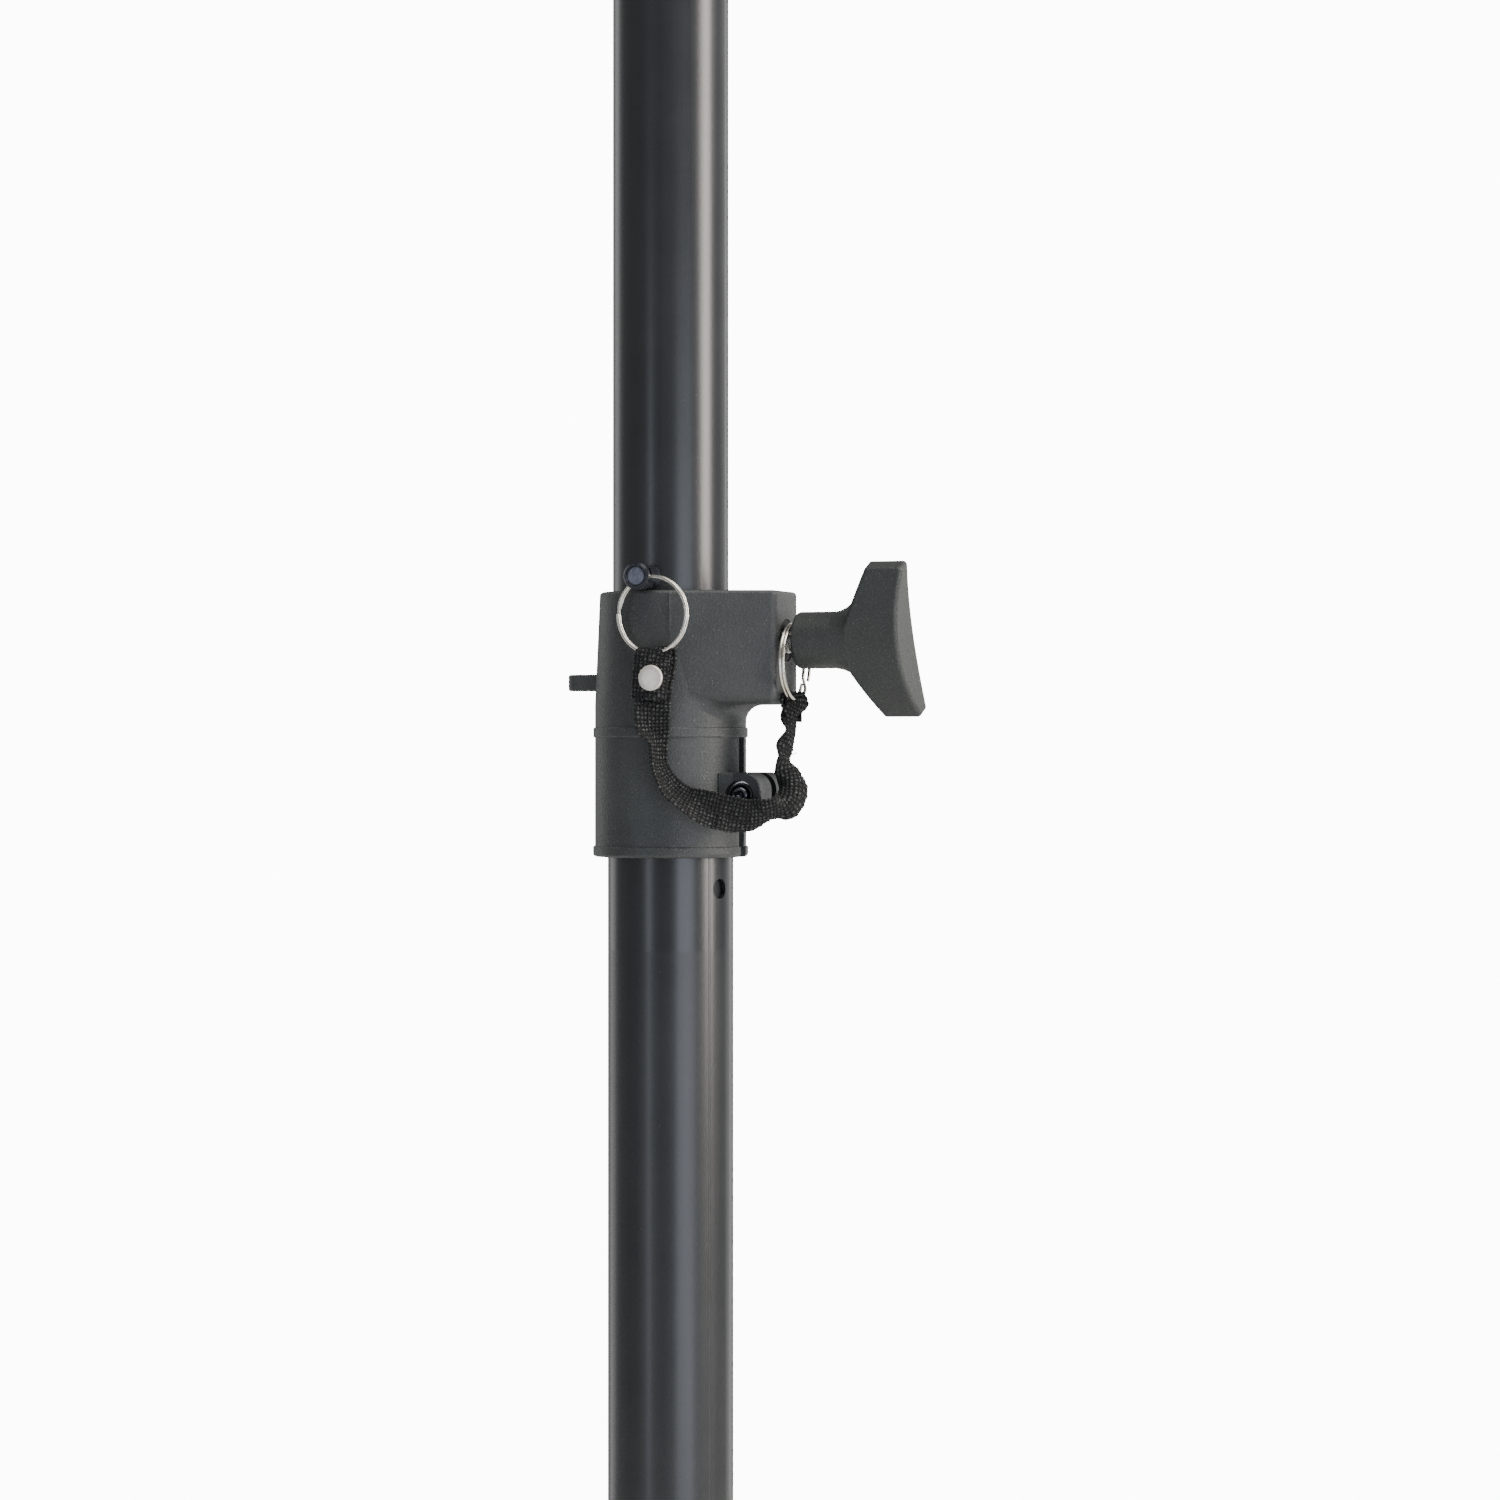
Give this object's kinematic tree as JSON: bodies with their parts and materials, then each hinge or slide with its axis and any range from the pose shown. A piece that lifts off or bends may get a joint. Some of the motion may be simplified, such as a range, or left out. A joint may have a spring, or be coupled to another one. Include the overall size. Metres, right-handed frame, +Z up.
{
  "type": "telescopic speaker pole",
  "caption": "Telescopic steel pole for a loudspeaker, with a moulded clamp, wing knob, tethered locking pin and threaded foot.",
  "frame": {"origin": "centre of the base plug's seat, where the threaded stud begins", "axes": "+Z up the pole, +X towards the clamp's knob, -Y the way the locking pin is pulled out"},
  "size_m": [0.1103, 0.0532, 0.772],
  "materials": {
    "tube_paint": "satin black powder coat",
    "moulded_plastic": "fine-grained, glass-filled",
    "cap_plastic": "matt",
    "guide_plastic": "natural acetal",
    "zinc_steel": "zinc plated",
    "black_steel": "glossy black oxide",
    "nickel": "nickel plated",
    "brass": "machined",
    "webbing": "woven polyester"
  },
  "bodies": {
    "clamp": {"lower_tube": "tube_paint", "base_plug": "zinc_steel", "base_stud": "zinc_steel", "plug_rivet_left": "zinc_steel", "plug_rivet_right": "zinc_steel", "clamp_housing": "moulded_plastic", "guide_bush": "guide_plastic", "thread_insert": "black_steel", "bolt_washer": "zinc_steel", "clamp_bolt": "black_steel", "clamp_nut": "zinc_steel", "knob_ring": "nickel", "lanyard_tail": "webbing"},
    "mast": {"upper_tube": "tube_paint", "top_cap": "cap_plastic", "foot_plug": "guide_plastic", "foot_bush": "guide_plastic", "foot_washer": "zinc_steel", "foot_screw": "zinc_steel"},
    "pin": {"locking_pin": "black_steel", "pin_ring": "nickel", "lanyard_loop": "webbing", "lanyard_rivet": "nickel", "lanyard_rivet_back": "nickel"},
    "shoe": {"brake_shoe": "brass"},
    "knob": {"knob_screw": "zinc_steel", "knob_handle": "moulded_plastic"}
  },
  "joints": [
    {"name": "mast_slide", "type": "slide", "parent": "clamp", "child": "mast", "axis": [0, 0, 1], "range_m": [0, 0.07]},
    {"name": "pin_pull", "type": "slide", "parent": "mast", "child": "pin", "axis": [0, -1, 0], "range_m": [0, 0.04]},
    {"name": "shoe_travel", "type": "slide", "parent": "clamp", "child": "shoe", "axis": [1, 0, 0], "range_m": [0, 0.00156]},
    {"name": "knob_turn", "type": "hinge", "parent": "shoe", "child": "knob", "pos_m": [0.045, 0, 0.445], "axis": [1, 0, 0], "range_deg": [0, 450]}
  ],
  "couplings": [
    {"joint": "knob_turn", "follows": "shoe_travel", "rad_per_m": 5026.5}
  ]
}
